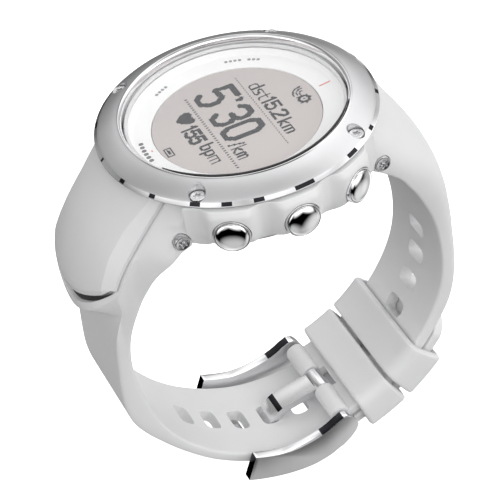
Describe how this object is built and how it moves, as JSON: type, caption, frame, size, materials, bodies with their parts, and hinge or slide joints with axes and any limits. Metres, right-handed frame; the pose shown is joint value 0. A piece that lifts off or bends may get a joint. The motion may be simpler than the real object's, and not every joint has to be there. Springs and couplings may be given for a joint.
{
  "type": "gps running watch",
  "caption": "round sports watch with a satin metal bezel, digital display, domed side buttons, raised antenna panel and a rubber strap closed with a pin buckle and sliding keepers",
  "frame": {"origin": "centre of the flat case-back face", "axes": "+Z out of the display, +X towards 3 o'clock, +Y towards 12 o'clock"},
  "size_m": [0.0523, 0.0705, 0.0775],
  "materials": {
    "satin_steel": "bead-blasted satin",
    "polished_steel": "polished",
    "screw_steel": "machined",
    "white_case_plastic": "fine satin moulding",
    "white_ring_plastic": "smooth",
    "white_strap_rubber": "smooth matt",
    "crystal_glass": "clear",
    "pale_gasket": "smooth",
    "display_panel": "reflective display",
    "light_guide_acrylic": "clear acrylic",
    "chassis_plastic": "moulded",
    "circuit_board": "solder mask",
    "battery_wrap": "foil pouch",
    "buzzer_brass": "turned",
    "antenna_ceramic": "fired",
    "gasket_rubber": "smooth",
    "contact_gold": "gold plated"
  },
  "bodies": {
    "watch": {"case_body": "white_case_plastic", "antenna_cover": "white_case_plastic", "bezel": "satin_steel", "bezel_screw_1": "screw_steel", "bezel_screw_2": "screw_steel", "bezel_screw_3": "screw_steel", "bezel_screw_4": "screw_steel", "crystal": "crystal_glass", "crystal_gasket": "pale_gasket", "dial_ring": "white_ring_plastic", "lcd_display": "display_panel", "light_guide": "light_guide_acrylic", "inner_chassis": "chassis_plastic", "main_circuit_board": "circuit_board", "battery": "battery_wrap", "gps_antenna": "antenna_ceramic", "buzzer": "buzzer_brass", "back_gasket": "gasket_rubber", "case_back": "satin_steel", "case_back_screw_1": "screw_steel", "case_back_screw_2": "screw_steel", "case_back_screw_3": "screw_steel", "case_back_screw_4": "screw_steel", "charge_contact_1": "contact_gold", "charge_contact_2": "contact_gold", "charge_contact_3": "contact_gold", "charge_contact_4": "contact_gold", "button_spring_1": "screw_steel", "button_spring_2": "screw_steel", "button_spring_3": "screw_steel", "button_spring_4": "screw_steel", "button_spring_5": "screw_steel", "button_collar_1": "polished_steel", "button_collar_2": "polished_steel", "button_collar_3": "polished_steel", "button_collar_4": "polished_steel", "button_collar_5": "polished_steel", "strap_buckle_side": "white_strap_rubber", "strap_tail_side": "white_strap_rubber", "lug_insert_1": "buzzer_brass", "lug_insert_2": "buzzer_brass", "lug_insert_3": "buzzer_brass", "lug_insert_4": "buzzer_brass", "lug_screw_1": "screw_steel", "lug_screw_2": "screw_steel", "lug_screw_3": "screw_steel", "lug_screw_4": "screw_steel", "spring_bar": "screw_steel"},
    "button_1": {"button_cap_1": "polished_steel"},
    "button_2": {"button_cap_2": "polished_steel"},
    "button_3": {"button_cap_3": "polished_steel"},
    "button_4": {"button_cap_4": "polished_steel"},
    "button_5": {"button_cap_5": "polished_steel"},
    "buckle": {"buckle_frame": "polished_steel"},
    "tang": {"buckle_tang": "polished_steel"},
    "keeper_1": {"strap_keeper_1": "white_strap_rubber"},
    "keeper_2": {"strap_keeper_2": "white_strap_rubber"}
  },
  "joints": [
    {"name": "press_1", "type": "slide", "parent": "watch", "child": "button_1", "axis": [-0.8902, 0.4555, 0], "range_m": [0, 0.0008], "stiffness_N_per_m": 900, "springref_m": -0.0008, "deforming": ["button_spring_1"]},
    {"name": "press_2", "type": "slide", "parent": "watch", "child": "button_2", "axis": [-1, 0, 0], "range_m": [0, 0.0008], "stiffness_N_per_m": 900, "springref_m": -0.0008, "deforming": ["button_spring_2"]},
    {"name": "press_3", "type": "slide", "parent": "watch", "child": "button_3", "axis": [-0.8902, -0.4555, 0], "range_m": [0, 0.0008], "stiffness_N_per_m": 900, "springref_m": -0.0008, "deforming": ["button_spring_3"]},
    {"name": "press_4", "type": "slide", "parent": "watch", "child": "button_4", "axis": [0.8902, -0.4555, 0], "range_m": [0, 0.0008], "stiffness_N_per_m": 900, "springref_m": -0.0008, "deforming": ["button_spring_4"]},
    {"name": "press_5", "type": "slide", "parent": "watch", "child": "button_5", "axis": [0.8902, 0.4555, 0], "range_m": [0, 0.0008], "stiffness_N_per_m": 900, "springref_m": -0.0008, "deforming": ["button_spring_5"]},
    {"name": "buckle_swing", "type": "hinge", "parent": "watch", "child": "buckle", "pos_m": [0, 0.00642, -0.05473], "axis": [1, 0, 0], "range_deg": [0, 1.4]},
    {"name": "tang_swing", "type": "hinge", "parent": "buckle", "child": "tang", "pos_m": [0, 0.00642, -0.05473], "axis": [1, 0, 0], "range_deg": [0, 0.6]},
    {"name": "keeper_1_slide", "type": "hinge", "parent": "watch", "child": "keeper_1", "pos_m": [0, 0.001, -0.024], "axis": [1, 0, 0], "range_deg": [-0.8, 0.5]},
    {"name": "keeper_2_slide", "type": "hinge", "parent": "watch", "child": "keeper_2", "pos_m": [0, 0.001, -0.024], "axis": [1, 0, 0], "range_deg": [-0.7, 19]}
  ]
}
